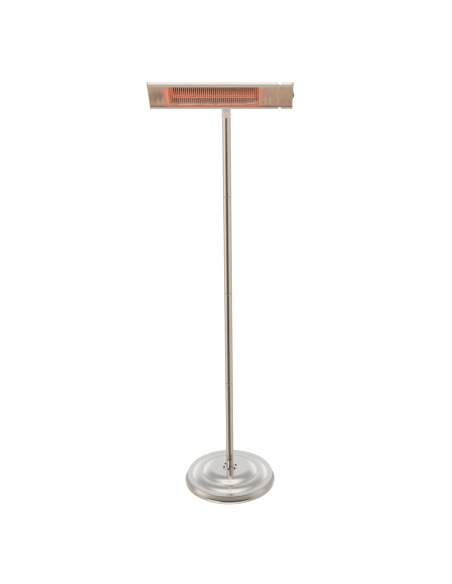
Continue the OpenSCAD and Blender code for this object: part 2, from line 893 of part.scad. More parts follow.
module cord_gland() {
    color([0.09, 0.09, 0.09])
    in_head() at_gland()
    difference() {
        union() {
            cylinder(h = 5, r = 11, $fn = 6);
            translate([0, 0, 4]) cylinder(h = 10, r = 8.6);
            translate([0, 0, -9]) cylinder(h = 10, r = gland_thread_r);
        }
        translate([0, 0, -10]) cylinder(h = 30, r = gland_r);
    }
}

module gland_nut() {
    color([0.12, 0.12, 0.12])
    in_head() at_gland()
    difference() {
        translate([0, 0, -6.2]) cylinder(h = 4.2, r = 10.5, $fn = 6);
        translate([0, 0, -8]) cylinder(h = 8, r = gland_thread_r);
    }
}

base_cover();
base_weight();
base_bottom_plate();
foot_ring();
base_plate_screws();
foot_flange();
flange_screws();
pole_section_1();
pole_section_2();
pole_section_3();
pole_section_4();
pole_coupling_1();
pole_coupling_2();
pole_coupling_3();
pole_adapter();
adapter_screws();
pivot_bolt();
pivot_washers();
knob_insert();
tilt_knob();
head_bracket();
bracket_screws();
main_housing();
control_housing();
left_end_cap();
right_end_cap();
left_cap_screws();
right_cap_screws();
left_fascia();
right_fascia();
wire_guard();
chassis_plate();
joining_frame();
control_bulkhead();
reflector();
left_reflector_end();
right_reflector_end();
quartz_tube();
heating_coil();
left_tube_cap();
right_tube_cap();
left_tube_holder();
right_tube_holder();
terminal_block();
thermal_cutout();
tip_over_switch();
internal_wires();
switch_body();
power_rocker();
cord_gland();
gland_nut();
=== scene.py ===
"""Looks of a free-standing electric infrared heater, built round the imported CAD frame.

Metres, +Z up, the heater faces -Y. Parts of the head are drawn in its own frame (X along it, Y back from
the face, Z up along it, about the tilt axis) and then turned into place.
"""
import json
import math

import bmesh
import bpy
import numpy as np
from mathutils import Matrix, Vector
from mathutils.geometry import convex_hull_2d, delaunay_2d_cdt


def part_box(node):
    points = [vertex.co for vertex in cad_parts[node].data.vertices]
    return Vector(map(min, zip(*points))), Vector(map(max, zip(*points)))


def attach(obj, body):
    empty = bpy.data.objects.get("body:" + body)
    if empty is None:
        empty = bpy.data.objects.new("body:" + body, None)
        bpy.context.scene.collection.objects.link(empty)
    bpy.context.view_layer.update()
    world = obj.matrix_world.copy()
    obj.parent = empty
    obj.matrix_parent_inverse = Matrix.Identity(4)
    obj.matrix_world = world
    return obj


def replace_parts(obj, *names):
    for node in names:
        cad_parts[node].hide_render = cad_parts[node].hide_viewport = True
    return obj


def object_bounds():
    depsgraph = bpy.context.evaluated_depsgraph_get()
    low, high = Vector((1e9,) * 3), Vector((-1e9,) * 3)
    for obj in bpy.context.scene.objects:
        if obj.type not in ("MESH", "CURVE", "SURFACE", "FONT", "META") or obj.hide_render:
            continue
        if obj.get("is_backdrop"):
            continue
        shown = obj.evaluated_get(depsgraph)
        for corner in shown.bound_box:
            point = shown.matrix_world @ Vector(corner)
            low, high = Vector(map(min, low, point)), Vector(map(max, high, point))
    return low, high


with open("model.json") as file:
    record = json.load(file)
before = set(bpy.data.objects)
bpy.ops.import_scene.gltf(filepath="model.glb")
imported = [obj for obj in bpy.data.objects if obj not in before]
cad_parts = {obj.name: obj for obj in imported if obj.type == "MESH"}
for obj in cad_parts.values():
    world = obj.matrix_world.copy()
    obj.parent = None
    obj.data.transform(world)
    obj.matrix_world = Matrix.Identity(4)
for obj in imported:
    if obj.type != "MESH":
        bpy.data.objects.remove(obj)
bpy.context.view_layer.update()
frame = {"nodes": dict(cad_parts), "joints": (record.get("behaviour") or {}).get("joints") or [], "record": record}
nodes = frame["nodes"]
scene = bpy.context.scene

MM = 0.001
REST_TILT = math.radians(40)
pivot = Vector(next(j["pos_m"] for j in frame["joints"] if j["name"] == "head_tilt"))
HEAD = Matrix.Translation(pivot) @ Matrix.Rotation(REST_TILT, 4, "X")


# ---------- node helpers ----------

def new_material(name):
    mat = bpy.data.materials.new(name)
    mat.use_nodes = True
    tree = mat.node_tree
    tree.nodes.clear()
    out = tree.nodes.new("ShaderNodeOutputMaterial")
    shader = tree.nodes.new("ShaderNodeBsdfPrincipled")
    tree.links.new(shader.outputs["BSDF"], out.inputs["Surface"])
    return mat, tree, shader


def object_coords(tree, scale):
    coord = tree.nodes.new("ShaderNodeTexCoord")
    mapping = tree.nodes.new("ShaderNodeMapping")
    mapping.inputs["Scale"].default_value = scale
    tree.links.new(coord.outputs["Object"], mapping.inputs["Vector"])
    return mapping.outputs["Vector"]


def xyz(tree, vector):
    """The three parts of a vector."""
    split = tree.nodes.new("ShaderNodeSeparateXYZ")
    tree.links.new(vector, split.inputs[0])
    return split.outputs["X"], split.outputs["Y"], split.outputs["Z"]


def noise(tree, vector, scale, detail=4):
    node = tree.nodes.new("ShaderNodeTexNoise")
    node.inputs["Scale"].default_value = scale
    node.inputs["Detail"].default_value = detail
    node.inputs["Roughness"].default_value = 0.55
    tree.links.new(vector, node.inputs["Vector"])
    return node.outputs["Fac"]


def spread(tree, value, low, high, from_low=0.3, from_high=0.7):
    """Value mapped to low..high, clamped; the default source range suits a noise value."""
    node = tree.nodes.new("ShaderNodeMapRange")
    node.inputs["From Min"].default_value = from_low
    node.inputs["From Max"].default_value = from_high
    node.inputs["To Min"].default_value = low
    node.inputs["To Max"].default_value = high
    tree.links.new(value, node.inputs["Value"])
    return node.outputs["Result"]


def blend(tree, factor, a, b, mode="MIX"):
    """Mix of two colours, each an RGB triple or a socket."""
    node = tree.nodes.new("ShaderNodeMix")
    node.data_type = "RGBA"
    node.blend_type = mode
    for socket, value in ((node.inputs[6], a), (node.inputs[7], b)):
        if isinstance(value, (tuple, list)):
            socket.default_value = (*value[:3], 1)
        else:
            tree.links.new(value, socket)
    if isinstance(factor, (int, float)):
        node.inputs[0].default_value = factor
    else:
        tree.links.new(factor, node.inputs[0])
    return node.outputs[2]


def math_node(tree, op, a, b=0.0):
    node = tree.nodes.new("ShaderNodeMath")
    node.operation = op
    for socket, value in zip(node.inputs, (a, b)):
        if isinstance(value, (int, float)):
            socket.default_value = value
        else:
            tree.links.new(value, socket)
    return node.outputs[0]


def below(tree, value, limit):
    return math_node(tree, "LESS_THAN", value, limit)


def above(tree, value, limit):
    return math_node(tree, "GREATER_THAN", value, limit)


def product(tree, *values):
    result = values[0]
    for value in values[1:]:
        result = math_node(tree, "MULTIPLY", result, value)
    return result


def ramp(tree, value, stops):
    """Colour along a value, from (place, colour) stops."""
    node = tree.nodes.new("ShaderNodeValToRGB")
    elements = node.color_ramp.elements
    while len(elements) < len(stops):
        elements.new(0.5)
    for element, (place, color) in zip(elements, stops):
        element.position = place
        element.color = (*color, 1)
    tree.links.new(value, node.inputs[0])
    return node.outputs["Color"]


def bump(tree, shader, height, strength, distance):
    node = tree.nodes.new("ShaderNodeBump")
    node.inputs["Strength"].default_value = strength
    node.inputs["Distance"].default_value = distance
    tree.links.new(height, node.inputs["Height"])
    tree.links.new(node.outputs["Normal"], shader.inputs["Normal"])


def tone(color, factor):
    return tuple(min(1.0, c * factor) for c in color)


def surface(name, color, rough, metallic=0.0, grain=(1, 1, 1), fine=400, smudge=6, rough_spread=0.05,
            colour_spread=0.08, relief=0.00005, relief_strength=0.3, **sockets):
    """A finish with grain along `grain`, blotchy wear in colour and gloss, and a fine relief."""
    mat, tree, shader = new_material(name)
    along = object_coords(tree, grain)
    plain = object_coords(tree, (1, 1, 1))
    grain_value = noise(tree, along, fine, 3)
    smudge_value = noise(tree, plain, smudge, 5)
    base = blend(tree, spread(tree, smudge_value, 0, 1), tone(color, 1 - colour_spread), tone(color, 1))
    base = blend(tree, spread(tree, grain_value, 0, 0.5), base, tone(color, 1 - 1.6 * colour_spread))
    tree.links.new(base, shader.inputs["Base Color"])
    wear = math_node(tree, "ADD", spread(tree, smudge_value, 0, rough_spread),
                     spread(tree, grain_value, rough - rough_spread, rough + rough_spread))
    tree.links.new(wear, shader.inputs["Roughness"])
    shader.inputs["Metallic"].default_value = metallic
    for key, value in sockets.items():
        shader.inputs[key.replace("_", " ")].default_value = value
    bump(tree, shader, grain_value, relief_strength, relief)
    return mat


# ---------- finishes ----------

def polished_cover():
    """Mirror-polished pressing with faint turning marks round the axis."""
    mat, tree, shader = new_material("polished_cover")
    place = object_coords(tree, (1, 1, 1))
    x, y, z = xyz(tree, place)
    radius = math_node(tree, "SQRT", math_node(tree, "ADD", product(tree, x, x), product(tree, y, y)))
    join = tree.nodes.new("ShaderNodeCombineXYZ")
    tree.links.new(radius, join.inputs["X"])
    tree.links.new(product(tree, z, 0.6), join.inputs["Z"])
    rings = noise(tree, join.outputs[0], 900, 2)
    smudge = noise(tree, place, 9, 5)
    color = (0.80, 0.79, 0.775)
    base = blend(tree, spread(tree, smudge, 0, 1), tone(color, 0.96), color)
    tree.links.new(base, shader.inputs["Base Color"])
    gloss = math_node(tree, "ADD", spread(tree, smudge, 0.0, 0.04), spread(tree, rings, 0.10, 0.16))
    tree.links.new(gloss, shader.inputs["Roughness"])
    shader.inputs["Metallic"].default_value = 1.0
    bump(tree, shader, rings, 0.12, 0.00002)
    return mat


def perforated_paint():
    """Fascia sheet: tan satin finish with a painted red glow next to the window and a darker brown patch on the
    left.
    """
    dark_patch_centre = HEAD @ Vector((-288 * MM, left_low.y, (left_low.z + left_high.z) / 2 - 2 * MM))
    mat, tree, shader = new_material("fascia_mesh")
    place = object_coords(tree, (1, 1, 1))
    x, _, z = xyz(tree, place)
    # Painted glow: the fascia turns red-orange along both edges of the window, standing in for the element's
    # light.
    left = spread(tree, x, 0, 1, window_low.x - 0.030, window_low.x - 0.010)
    right = spread(tree, x, 1, 0, window_high.x - 0.001, window_high.x + 0.026)
    near = math_node(tree, "MAXIMUM", product(tree, left, below(tree, x, 0)),
                     product(tree, right, above(tree, x, 0)))
    stain = noise(tree, place, 22, 4)
    low = spread(tree, z, 1, 0, pivot.z - 0.03, pivot.z + 0.05)
    color = blend(tree, spread(tree, stain, 0, 1), (0.70, 0.500, 0.370), (0.81, 0.590, 0.440))
    color = blend(tree, low, color, blend(tree, 1.0, color, (0.90, 0.87, 0.86), "MULTIPLY"))
    from_centre = tree.nodes.new("ShaderNodeVectorMath")
    from_centre.operation = "DISTANCE"
    from_centre.inputs[1].default_value = dark_patch_centre
    tree.links.new(place, from_centre.inputs[0])
    # A darker brown patch round a point near the left end.
    dark_patch_distance = math_node(tree, "ADD", from_centre.outputs["Value"], spread(tree, stain, -0.012, 0.012))
    color = blend(tree, spread(tree, dark_patch_distance, 0.75, 0, 0.018, 0.052), color, (0.40, 0.245, 0.175))
    color = blend(tree, near, color, (0.95, 0.46, 0.31))
    tree.links.new(color, shader.inputs["Base Color"])
    fine = noise(tree, place, 900, 3)
    tree.links.new(spread(tree, fine, 0.38, 0.52), shader.inputs["Roughness"])
    shader.inputs["Metallic"].default_value = 0.55
    bump(tree, shader, fine, 0.25, 0.00005)
    return mat


def glowing_reflector():
    """Rolled bright sheet with the element's light painted on: a painted red glow, a painted dark band at
    mid-height and a painted pale reflection of the tube along its foot.
    """
    mat, tree, shader = new_material("reflector_alloy")
    coord = tree.nodes.new("ShaderNodeTexCoord")
    into_head = tree.nodes.new("ShaderNodeMapping")
    into_head.vector_type = "TEXTURE"
    into_head.inputs["Location"].default_value = pivot
    into_head.inputs["Rotation"].default_value = (REST_TILT, 0, 0)
    tree.links.new(coord.outputs["Object"], into_head.inputs["Vector"])
    x, _, z = xyz(tree, into_head.outputs[0])
    up = spread(tree, z, 0, 1, window_low.z, window_high.z)
    ripple = noise(tree, object_coords(tree, (3, 60, 60)), 4, 4)
    patches = noise(tree, object_coords(tree, (1, 0.1, 0.1)), 16, 2)
    # The painted bands rise towards the right end, where the tube's reflection curves up.
    lifted = spread(tree, x, 0, 0.035, window_high.x - 0.07, window_high.x)
    wavy = math_node(tree, "SUBTRACT", math_node(tree, "ADD", up, spread(tree, ripple, -0.008, 0.008)),
                     lifted)
    # Painted glow and reflections up the window: the pale stop at 0.036 is the painted reflection of the tube, the
    # stops near 0.47 the painted dark band.
    glow = ramp(tree, wavy, [(0.000, (0.645, 0.200, 0.130)), (0.018, (0.521, 0.150, 0.090)),
                             (0.036, (1.000, 0.640, 0.450)), (0.052, (0.310, 0.262, 0.209)),
                             (0.078, (0.223, 0.170, 0.130)), (0.098, (0.227, 0.080, 0.052)),
                             (0.146, (0.361, 0.054, 0.030)), (0.220, (0.283, 0.050, 0.034)),
                             (0.327, (0.434, 0.060, 0.030)), (0.418, (0.120, 0.010, 0.006)),
                             (0.474, (0.030, 0.003, 0.002)), (0.590, (0.20, 0.020, 0.010)),
                             (0.720, (0.480, 0.080, 0.040)), (1.000, (0.560, 0.110, 0.060))])
    # Patches where the painted glow is dimmer.
    dimmed = blend(tree, 1.0, glow, (0.3, 0.25, 0.25), "MULTIPLY")
    glow = blend(tree, spread(tree, patches, 0, 0.5, 0.45, 0.62), glow, dimmed)
    tree.links.new(glow, shader.inputs["Emission Color"])
    shader.inputs["Emission Strength"].default_value = 0.8
    base = blend(tree, 0.35, blend(tree, 0.5, glow, (0, 0, 0)), (0.03, 0.012, 0.010))
    tree.links.new(base, shader.inputs["Base Color"])
    shader.inputs["Metallic"].default_value = 1.0
    tree.links.new(spread(tree, ripple, 0.18, 0.34), shader.inputs["Roughness"])
    bump(tree, shader, ripple, 0.3, 0.0004)
    return mat


def end_with_painted_glow(name, color):
    """Reflector end or tube cap with the element's light painted on as an emitted red glow."""
    mat, tree, shader = new_material(name)
    # The noise varies the stain and the painted glow alike.
    stain = noise(tree, object_coords(tree, (1, 1, 1)), 40, 4)
    tree.links.new(blend(tree, spread(tree, stain, 0, 1), tone(color, 0.8), color),
                   shader.inputs["Emission Color"])
    shader.inputs["Emission Strength"].default_value = 0.9
    tree.links.new(blend(tree, spread(tree, stain, 0, 1), (0.10, 0.025, 0.012), (0.14, 0.035, 0.018)),
                   shader.inputs["Base Color"])
    shader.inputs["Metallic"].default_value = 1.0
    tree.links.new(spread(tree, stain, 0.25, 0.4), shader.inputs["Roughness"])
    bump(tree, shader, stain, 0.3, 0.0003)
    return mat


def plate_with_painted_glow():
    """Galvanised plate behind the face, with a painted red glow where it borders the window."""
    mat, tree, shader = new_material("chassis_plate")
    place = object_coords(tree, (1, 1, 1))
    x, _, _ = xyz(tree, place)
    near = product(tree, spread(tree, x, 0, 1, window_low.x - 0.012, window_low.x),
                   spread(tree, x, 1, 0, window_high.x, window_high.x + 0.012))
    spangle = noise(tree, place, 45, 4)
    zinc = blend(tree, spread(tree, spangle, 0, 1), (0.72, 0.67, 0.62), (0.82, 0.77, 0.72))
    # Painted glow: red tint and emission along the window's edges stand in for the element's light.
    tree.links.new(blend(tree, near, zinc, (0.70, 0.34, 0.24)), shader.inputs["Base Color"])
    tree.links.new(blend(tree, near, (0, 0, 0), (0.56, 0.16, 0.10)), shader.inputs["Emission Color"])
    shader.inputs["Emission Strength"].default_value = 1.0
    shader.inputs["Metallic"].default_value = 1.0
    tree.links.new(spread(tree, spangle, 0.34, 0.44), shader.inputs["Roughness"])
    bump(tree, shader, spangle, 0.2, 0.00008)
    return mat


def quartz():
    """Clear tube with a painted glow along its edges standing in for their highlights."""
    mat, tree, shader = new_material("quartz")
    haze = noise(tree, object_coords(tree, (1, 1, 1)), 60, 4)
    tree.links.new(spread(tree, haze, 0.02, 0.08), shader.inputs["Roughness"])
    tree.links.new(blend(tree, haze, (1.0, 0.80, 0.72), (1.0, 0.88, 0.82)), shader.inputs["Base Color"])
    # Painted highlight: the edges turned away emit a pale red glow.
    rim = tree.nodes.new("ShaderNodeLayerWeight")
    rim.inputs["Blend"].default_value = 0.5
    shader.inputs["Emission Color"].default_value = (1.0, 0.56, 0.40, 1)
    tree.links.new(spread(tree, rim.outputs["Facing"], 0, 0.68, 0.32, 0.60), shader.inputs["Emission Strength"])
    shader.inputs["Transmission Weight"].default_value = 1.0
    shader.inputs["IOR"].default_value = 1.46
    return mat


def glowing_coil():
    """Winding that glows unevenly along its length."""
    mat, tree, shader = new_material("coil")
    heat = noise(tree, object_coords(tree, (1, 1, 1)), 25, 3)
    tree.links.new(blend(tree, spread(tree, heat, 0, 1), (1.0, 0.13, 0.05), (1.0, 0.20, 0.09)),
                   shader.inputs["Emission Color"])
    shader.inputs["Emission Strength"].default_value = 0.22
    shader.inputs["Base Color"].default_value = (0.35, 0.10, 0.05, 1)
    tree.links.new(spread(tree, heat, 0.5, 0.6), shader.inputs["Roughness"])
    return mat


def head_box(*names):
    """Lowest and highest corner of CAD nodes in the head's own frame."""
    back = HEAD.inverted()
    points = [back @ v.co for n in names for v in nodes[n].data.vertices]
    array = np.array(points)
    return Vector(array.min(0)), Vector(array.max(0))


housing_low, _ = head_box("main_housing")
left_low, left_high = head_box("left_fascia")
right_low, right_high = head_box("right_fascia")
SILL = 5 * MM
window_low = Vector((left_high.x, left_low.y, left_low.z + SILL))
window_high = Vector((right_low.x, left_high.y, left_high.z - SILL))

ALONG_X = (0.02, 1, 1)
ALONG_Z = (1, 1, 0.02)
finishes = {
    "polished_cover": polished_cover(),
    "pole_steel": surface("pole_steel", (0.86, 0.80, 0.745), 0.12, 1, ALONG_Z, 600, 3, 0.03, 0.03,
                          0.00002, 0.1),
    "joint_dark": surface("joint_dark", (0.20, 0.18, 0.17), 0.35, 1, fine=500),
    "adapter_alloy": surface("adapter_alloy", (0.93, 0.885, 0.855), 0.60, 0.5, fine=700, relief=0.00003),
    "concrete": surface("concrete", (0.42, 0.42, 0.41), 0.9, 0, fine=300, relief=0.0004, relief_strength=0.6),
    "black_steel": surface("black_steel", (0.035, 0.035, 0.035), 0.42, 0, fine=900, relief=0.00006),
    "black_screw": surface("black_screw", (0.045, 0.032, 0.030), 0.40, 0.6, fine=700),
    "zinc": surface("zinc", (0.60, 0.60, 0.59), 0.32, 1, fine=700, colour_spread=0.12),
    "rubber": surface("rubber", (0.030, 0.030, 0.030), 0.75, 0, fine=800, relief=0.00008),
    "housing_alloy": surface("housing_alloy", (0.90, 0.87, 0.84), 0.36, 1, ALONG_X, 900, 5, 0.05, 0.05,
                             0.00003, 0.35),
    "cap_alloy": surface("cap_alloy", (0.76, 0.73, 0.70), 0.40, 1, fine=900, relief=0.00003),
    "fascia_mesh": perforated_paint(),
    # The guard wire's salmon colour and faint emission are painted glow from the element.
    "guard_wire": surface("guard_wire", (0.90, 0.60, 0.46), 0.34, 0.85, ALONG_Z, 900, 20, 0.05, 0.06,
                          Emission_Color=(1.0, 0.42, 0.26, 1), Emission_Strength=0.05),
    # The joining frame's emission is a painted highlight that makes the groove between the housings read bright.
    "frame_alloy": surface("frame_alloy", (0.95, 0.94, 0.93), 0.55, 0.2, ALONG_X, 900, 5,
                           Emission_Color=(1.0, 0.99, 0.97, 1), Emission_Strength=0.55),
    "galvanised": surface("galvanised", (0.62, 0.62, 0.61), 0.38, 1, smudge=45, colour_spread=0.16),
    "reflector_alloy": glowing_reflector(),
    "quartz": quartz(),
    "coil": glowing_coil(),
    "ceramic": surface("ceramic", (0.82, 0.78, 0.70), 0.62, 0, fine=500, colour_spread=0.06),
    "black_plastic": surface("black_plastic", (0.035, 0.035, 0.037), 0.45, 0, fine=1200, relief=0.00006),
    "rocker_plastic": surface("rocker_plastic", (0.05, 0.05, 0.055), 0.26, 0, fine=900, relief=0.00002),
    "brass": surface("brass", (0.72, 0.52, 0.22), 0.28, 1, fine=600),
    "washer_nylon": surface("washer_nylon", (0.07, 0.07, 0.07), 0.5, 0, fine=900),
    "wire_sleeve": surface("wire_sleeve", (0.72, 0.70, 0.62), 0.85, 0, fine=1500, relief=0.0001),
}
for part in frame["record"]["subparts"]:
    mesh = nodes[part["node"]].data
    mesh.materials.clear()
    mesh.materials.append(finishes[part["material_slot"]])
nodes["chassis_plate"].data.materials[0] = plate_with_painted_glow()
nodes["joining_frame"].data.materials[0] = finishes["frame_alloy"]
nodes["foot_flange"].data.materials[0] = finishes["polished_cover"]
# Painted glow on the tube caps and reflector ends: the left reflector end painted brightly lit, the right one
# painted in shade.
for name, color in (("left_tube_cap", (0.42, 0.07, 0.035)), ("right_tube_cap", (0.42, 0.07, 0.035)),
                    ("left_reflector_end", (0.66, 0.060, 0.018)),
                    ("right_reflector_end", (0.24, 0.018, 0.008))):
    nodes[name].data.materials[0] = end_with_painted_glow(name, color)


# ---------- pieces ----------

def make(name, verts, faces, slot, body, smooth=True, matrix=None):
    """A piece with the finish of a material slot, riding on a body."""
    mesh = bpy.data.meshes.new(name)
    mesh.from_pydata([tuple(v) for v in verts], [], faces)
    if matrix is not None:
        mesh.transform(matrix)
    mesh.validate()
    mesh.polygons.foreach_set("use_smooth", [smooth] * len(mesh.polygons))
    mesh.materials.append(finishes[slot])
    obj = bpy.data.objects.new(name, mesh)
    scene.collection.objects.link(obj)
    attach(obj, body)
    return obj


def lathe(name, profile, slot, body, segments):
    """Turns a closed profile of (radius, height) round the Z axis."""
    verts, faces = [], []
    for i in range(segments):
        a = 2 * math.pi * i / segments
        verts += [(r * math.cos(a), r * math.sin(a), z) for r, z in profile]
    n = len(profile)
    for i in range(segments):
        j = (i + 1) % segments
        for k in range(n):
            m = (k + 1) % n
            faces.append((i * n + k, j * n + k, j * n + m, i * n + m))
    return make(name, verts, faces, slot, body)


def split_sharp(obj, angle):
    """Keeps edges sharper than the angle crisp, and the rest smooth."""
    modifier = obj.modifiers.new("edges", "EDGE_SPLIT")
    modifier.split_angle = math.radians(angle)
    return obj


def triangulated(loops, mode):
    """Points and triangles of a Delaunay mesh that keeps the edges of the closed loops."""
    points, edges = [], []
    for loop in loops:
        start = len(points)
        points += [Vector(p) for p in loop]
        edges += [(start + i, start + (i + 1) % len(loop)) for i in range(len(loop))]
    verts, _, tris, _, _, _ = delaunay_2d_cdt(points, edges, [], mode, 1e-7)
    return verts, tris


def plate(name, outline, holes, y0, y1, slot, body):
    """A sheet in the head's frame from y0 to y1, with its outline and holes in (x, z).

    A hole is (loop, centre, reach, half sizes): round with a reach, and a rectangle where that is 0.
    """
    verts, tris = triangulated([outline] + [h[0] for h in holes], 0)
    grid = {}
    cell = 4 * MM
    for _, centre, reach, half in holes:
        for i in range(int((centre[0] - half[0]) // cell), int((centre[0] + half[0]) // cell) + 1):
            for k in range(int((centre[1] - half[1]) // cell), int((centre[1] + half[1]) // cell) + 1):
                grid.setdefault((i, k), []).append((centre, reach, half))
    kept = []
    for tri in tris:
        c = sum((verts[i] for i in tri), Vector((0, 0))) / len(tri)
        near = grid.get((int(c.x // cell), int(c.y // cell)), [])
        open_here = any(
            (math.hypot(c.x - p[0], c.y - p[1]) < reach) if reach else
            (abs(c.x - p[0]) < half[0] and abs(c.y - p[1]) < half[1]) for p, reach, half in near)
        if not open_here:
            kept.append(tuple(tri))
    n = len(verts)
    all_verts = [(v.x, y0, v.y) for v in verts] + [(v.x, y1, v.y) for v in verts]
    faces = list(kept) + [tuple(n + i for i in reversed(t)) for t in kept]
    seen = {edge: True for t in kept for edge in zip(t, t[1:] + t[:1])}
    for a, b in seen:
        if (b, a) not in seen:
            faces.append((b, a, n + a, n + b))
    return make(name, all_verts, faces, slot, body, smooth=False, matrix=HEAD)


def ring_points(x, z, r, n=8):
    turns = [2 * math.pi * (i + 0.5) / n for i in range(n)]
    return [(x + r * math.cos(a), z + r * math.sin(a)) for a in turns]


def perforated(name, low, high, slots):
    """A fascia with staggered round holes and upright slots; slots are (x, z0, z1)."""
    pitch, radius, half_slot, margin = 5.2 * MM, 1.6 * MM, 1.7 * MM, 3.2 * MM
    side_gap, end_gap = 0.8 * MM, 2.2 * MM
    row = pitch * math.sqrt(3) / 2
    outline = [(low.x, low.z), (high.x, low.z), (high.x, high.z), (low.x, high.z)]
    holes = []
    for x, z0, z1 in slots:
        loop = [(x - half_slot, z0), (x + half_slot, z0), (x + half_slot, z1), (x - half_slot, z1)]
        holes.append((loop, (x, (z0 + z1) / 2), 0, (half_slot, (z1 - z0) / 2)))
    rows = int((high.z - low.z - 2 * margin) / row)
    columns = int((high.x - low.x - 2 * margin) / pitch)
    for k in range(rows + 1):
        for i in range(columns + 1):
            x = low.x + margin + i * pitch + (pitch / 2 if k % 2 else 0)
            z = low.z + margin + k * row
            if x > high.x - margin:
                continue
            if any(abs(x - s) < half_slot + radius + side_gap and z0 - end_gap < z < z1 + end_gap
                   for s, z0, z1 in slots):
                continue
            holes.append((ring_points(x, z, radius), (x, z), radius * 0.93, (radius, radius)))
    return plate(name, outline, holes, low.y, high.y, "fascia_mesh", "head")


# Base cover: the CAD outline turned with a finer profile, drawn in mm for a base of radius COVER_R.
COVER_R, COVER_T = 230, 1.0
SHOULDER_END, SHOULDER_STEPS = math.radians(71), 40
cover_low, cover_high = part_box("base_cover")
UNIT = (cover_high.x - cover_low.x) / 2 / COVER_R


def shoulder(r_in, r_out, z_low, z_high):
    """Part of an ellipse, level at its inner end."""
    angles = [SHOULDER_END * i / SHOULDER_STEPS for i in range(SHOULDER_STEPS + 1)]
    rise, reach = 1 - math.cos(SHOULDER_END), math.sin(SHOULDER_END)
    return [(r_in + (r_out - r_in) * math.sin(a) / reach,
             z_high - (z_high - z_low) * (1 - math.cos(a)) / rise) for a in angles]


def arc(r, z, radius, a0, a1, steps):
    angles = [math.radians(a0 + (a1 - a0) * i / steps) for i in range(steps + 1)]
    return [(r + radius * math.cos(a), z + radius * math.sin(a)) for a in angles]


def cover_profile(t):
    """Half-section of the cover in mm, moved inwards by t."""
    points = [(12, 73.5 - t)] + shoulder(84, 140 - t, 52.5 - t, 73.5 - t)
    points += shoulder(148, 191 - t, 38 - t, 52.5 - t)
    points += arc(215 - t, 36.6 - t, 1.4, 90, 36, 6) + arc(208 - t, 31.5 - t, 10.1, 35, 14, 12)[1:]
    points += [(221.6 - t, 15), (222.4 - t, 12.6), (223.3 - t, 10.4), (224.8 - t, 8.2), (226.6 - t, 6),
               (228.3 - t, 4.3), (229.5 - t, 3.4)]
    return points + [(COVER_R - t, 2.9), (COVER_R - t, 0.6)]


profile = cover_profile(0) + cover_profile(COVER_T)[::-1]
cover = lathe("base_cover_turned", [(r * UNIT, z * UNIT) for r, z in profile], "polished_cover", "stand", 256)
split_sharp(cover, 32)
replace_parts(cover, "base_cover")

# Pole sections, turned smooth with a small chamfer at each end.
for k in range(1, 5):
    name = f"pole_section_{k}"
    low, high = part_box(name)
    r, chamfer, wall = (high.x - low.x) / 2, 0.5 * MM, 1.5 * MM
    tube = [(r - chamfer, low.z), (r, low.z + chamfer), (r, high.z - chamfer), (r - chamfer, high.z),
            (r - wall, high.z), (r - wall, low.z)]
    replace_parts(split_sharp(lathe(f"{name}_tube", tube, "pole_steel", "stand", 128), 35), name)


# End caps with rounded outer edges, a rocker opening in the right one and screw holes in both.

def in_convex(point, loop):
    turns = [(Vector(b) - Vector(a)).cross(point - Vector(a)) for a, b in zip(loop, loop[1:] + loop[:1])]
    return min(turns) > 0 or max(turns) < 0


def cut_outline(outline, holes):
    """Triangles that fill a convex outline of (y, z) points around convex holes."""
    verts, tris = triangulated([outline] + holes, 1)
    kept = []
    for tri in tris:
        c = sum((verts[i] for i in tri), Vector((0, 0))) / len(tri)
        if not any(in_convex(c, loop) for loop in holes):
            kept.append(tuple(tri))
    return verts, kept


